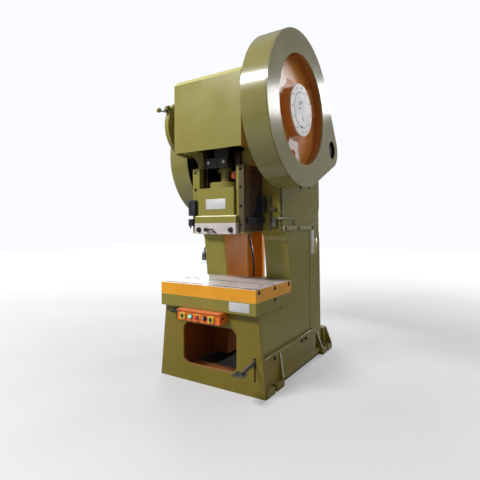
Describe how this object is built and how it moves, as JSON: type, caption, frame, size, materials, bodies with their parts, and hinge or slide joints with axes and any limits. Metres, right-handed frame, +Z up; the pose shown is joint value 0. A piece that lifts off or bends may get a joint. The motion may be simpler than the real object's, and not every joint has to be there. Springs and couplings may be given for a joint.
{
  "type": "mechanical stamping press",
  "caption": "Open-back geared stamping press: a crank behind a round gear guard drives a guided slide down over a slotted bolster on a steel frame.",
  "frame": {"origin": "on the floor, under the middle of the whole machine", "axes": "+X to the viewer's right, along the crankshaft to the gear guard; +Y to the back; +Z up"},
  "size_m": [1.644, 2.3318, 3.2009],
  "materials": {
    "olive_paint": "glossy olive green enamel",
    "orange_paint": "satin orange enamel, machined top",
    "vermilion_paint": "satin vermilion enamel",
    "motor_paint": "satin dark grey enamel",
    "gear_paint": "satin orange-brown enamel",
    "dark_casting": "dark oiled casting",
    "cast_iron_grey": "grey casting with turned faces",
    "machined_steel": "turned and milled steel",
    "bright_steel": "zinc-plated steel",
    "black_steel": "blackened steel",
    "bronze": "bearing bronze",
    "belt_rubber": "matte black rubber",
    "black_rubber": "matte black sheath",
    "black_plastic": "fine matte black",
    "yellow_plastic": "glossy yellow",
    "green_plastic": "glossy green",
    "red_plastic": "glossy red",
    "mint_lens": "translucent mint lens",
    "lamp_metal": "satin aluminium",
    "valve_metal": "cast aluminium"
  },
  "bodies": {
    "frame": {"base_stand": "olive_paint", "c_frame": "olive_paint", "frame_bolts": "black_steel", "bolster_plate": "orange_paint", "bolster_bolts": "bright_steel", "guide_rail_left": "olive_paint", "guide_rail_right": "olive_paint", "gib_left": "bronze", "gib_right": "bronze", "gib_bolts": "bright_steel", "head_cover": "olive_paint", "cover_screws": "bright_steel", "gear_guard": "olive_paint", "gear_guard_face": "olive_paint", "flywheel_guard": "olive_paint", "crank_bushes": "bronze", "shaft_bearings": "cast_iron_grey", "motor": "motor_paint", "motor_bracket": "olive_paint", "drive_belts": "belt_rubber", "brake_band": "black_steel", "brake_lever": "bright_steel", "stop_block": "vermilion_paint", "control_box": "vermilion_paint", "button_guards": "yellow_plastic", "indicator_lamp": "mint_lens", "conduit": "black_rubber", "lamp_neck": "black_rubber", "lamp_head": "lamp_metal", "light_guard_left": "black_plastic", "light_guard_right": "black_plastic", "slide_cable": "black_rubber", "oil_valves": "valve_metal", "oil_pipes": "black_steel", "side_strip": "olive_paint", "pedal_pin": "bright_steel"},
    "gear": {"big_gear": "gear_paint", "gear_ring": "machined_steel"},
    "drive": {"drive_shaft": "machined_steel", "pinion": "machined_steel", "flywheel": "cast_iron_grey"},
    "motor_rotor": {"motor_pulley": "cast_iron_grey"},
    "crank": {"crankshaft": "machined_steel", "brake_drum": "cast_iron_grey", "clutch_disc": "machined_steel"},
    "rod": {"connecting_rod": "dark_casting", "rod_cap": "dark_casting", "rod_bolts": "bright_steel", "adjusting_screw": "olive_paint", "lock_nut": "olive_paint"},
    "ram": {"slide": "olive_paint", "ball_retainer": "olive_paint", "shank_clamp": "machined_steel", "clamp_bolts": "black_steel"},
    "clamp_handle": {"clamp_lever": "black_steel"},
    "left_button": {"run_button_left": "green_plastic"},
    "right_button": {"run_button_right": "green_plastic"},
    "stop": {"stop_button": "red_plastic"},
    "selector": {"selector_knob": "black_plastic"},
    "foot_pedal": {"pedal": "black_steel"}
  },
  "joints": [
    {"name": "drive_spin", "type": "hinge", "parent": "frame", "child": "drive", "pos_m": [-0.022, 0.279, 2.26762], "axis": [1, 0, 0], "continuous": true},
    {"name": "gear_spin", "type": "hinge", "parent": "frame", "child": "gear", "pos_m": [-0.022, -0.475, 2.51], "axis": [1, 0, 0], "continuous": true},
    {"name": "motor_spin", "type": "hinge", "parent": "frame", "child": "motor_rotor", "pos_m": [-0.022, 0.995, 1.923], "axis": [1, 0, 0], "continuous": true},
    {"name": "crank_turn", "type": "hinge", "parent": "frame", "child": "crank", "pos_m": [-0.022, -0.475, 2.51], "axis": [-1, 0, 0], "range_deg": [0, 180]},
    {"name": "rod_swing", "type": "hinge", "parent": "crank", "child": "rod", "pos_m": [-0.022, -0.475, 2.575], "axis": [-1, 0, 0], "range_deg": [-180, 0]},
    {"name": "ram_stroke", "type": "slide", "parent": "frame", "child": "ram", "axis": [0, 0, 1], "range_m": [-0.13, 0]},
    {"name": "clamp_lever_turn", "type": "hinge", "parent": "ram", "child": "clamp_handle", "pos_m": [-0.106, -0.675, 1.442], "axis": [0, -1, 0], "range_deg": [-30, 45]},
    {"name": "left_button_press", "type": "slide", "parent": "frame", "child": "left_button", "axis": [0, 1, 0], "range_m": [0, 0.006], "stiffness_N_per_m": 300, "springref_m": -0.004},
    {"name": "right_button_press", "type": "slide", "parent": "frame", "child": "right_button", "axis": [0, 1, 0], "range_m": [0, 0.006], "stiffness_N_per_m": 300, "springref_m": -0.004},
    {"name": "stop_button_press", "type": "slide", "parent": "frame", "child": "stop", "axis": [0, 1, 0], "range_m": [0, 0.008], "stiffness_N_per_m": 400, "springref_m": -0.004},
    {"name": "selector_turn", "type": "hinge", "parent": "frame", "child": "selector", "pos_m": [0.023, -0.895, 0.649], "axis": [0, -1, 0], "range_deg": [-45, 45]},
    {"name": "pedal_press", "type": "hinge", "parent": "frame", "child": "foot_pedal", "pos_m": [0.47, -0.7, 0.311], "axis": [1, 0, 0], "range_deg": [0, 12], "stiffness_Nm_per_rad": 25, "springref_deg": -28.65}
  ],
  "couplings": [
    {"joint": "gear_spin", "follows": "drive_spin", "ratio": -0.22222},
    {"joint": "motor_spin", "follows": "drive_spin", "ratio": 6.4592},
    {"joint": "rod_swing", "follows": "crank_turn", "ratio": -1},
    {"joint": "ram_stroke", "follows": "crank_turn", "m_per_rad": -0.04138}
  ]
}
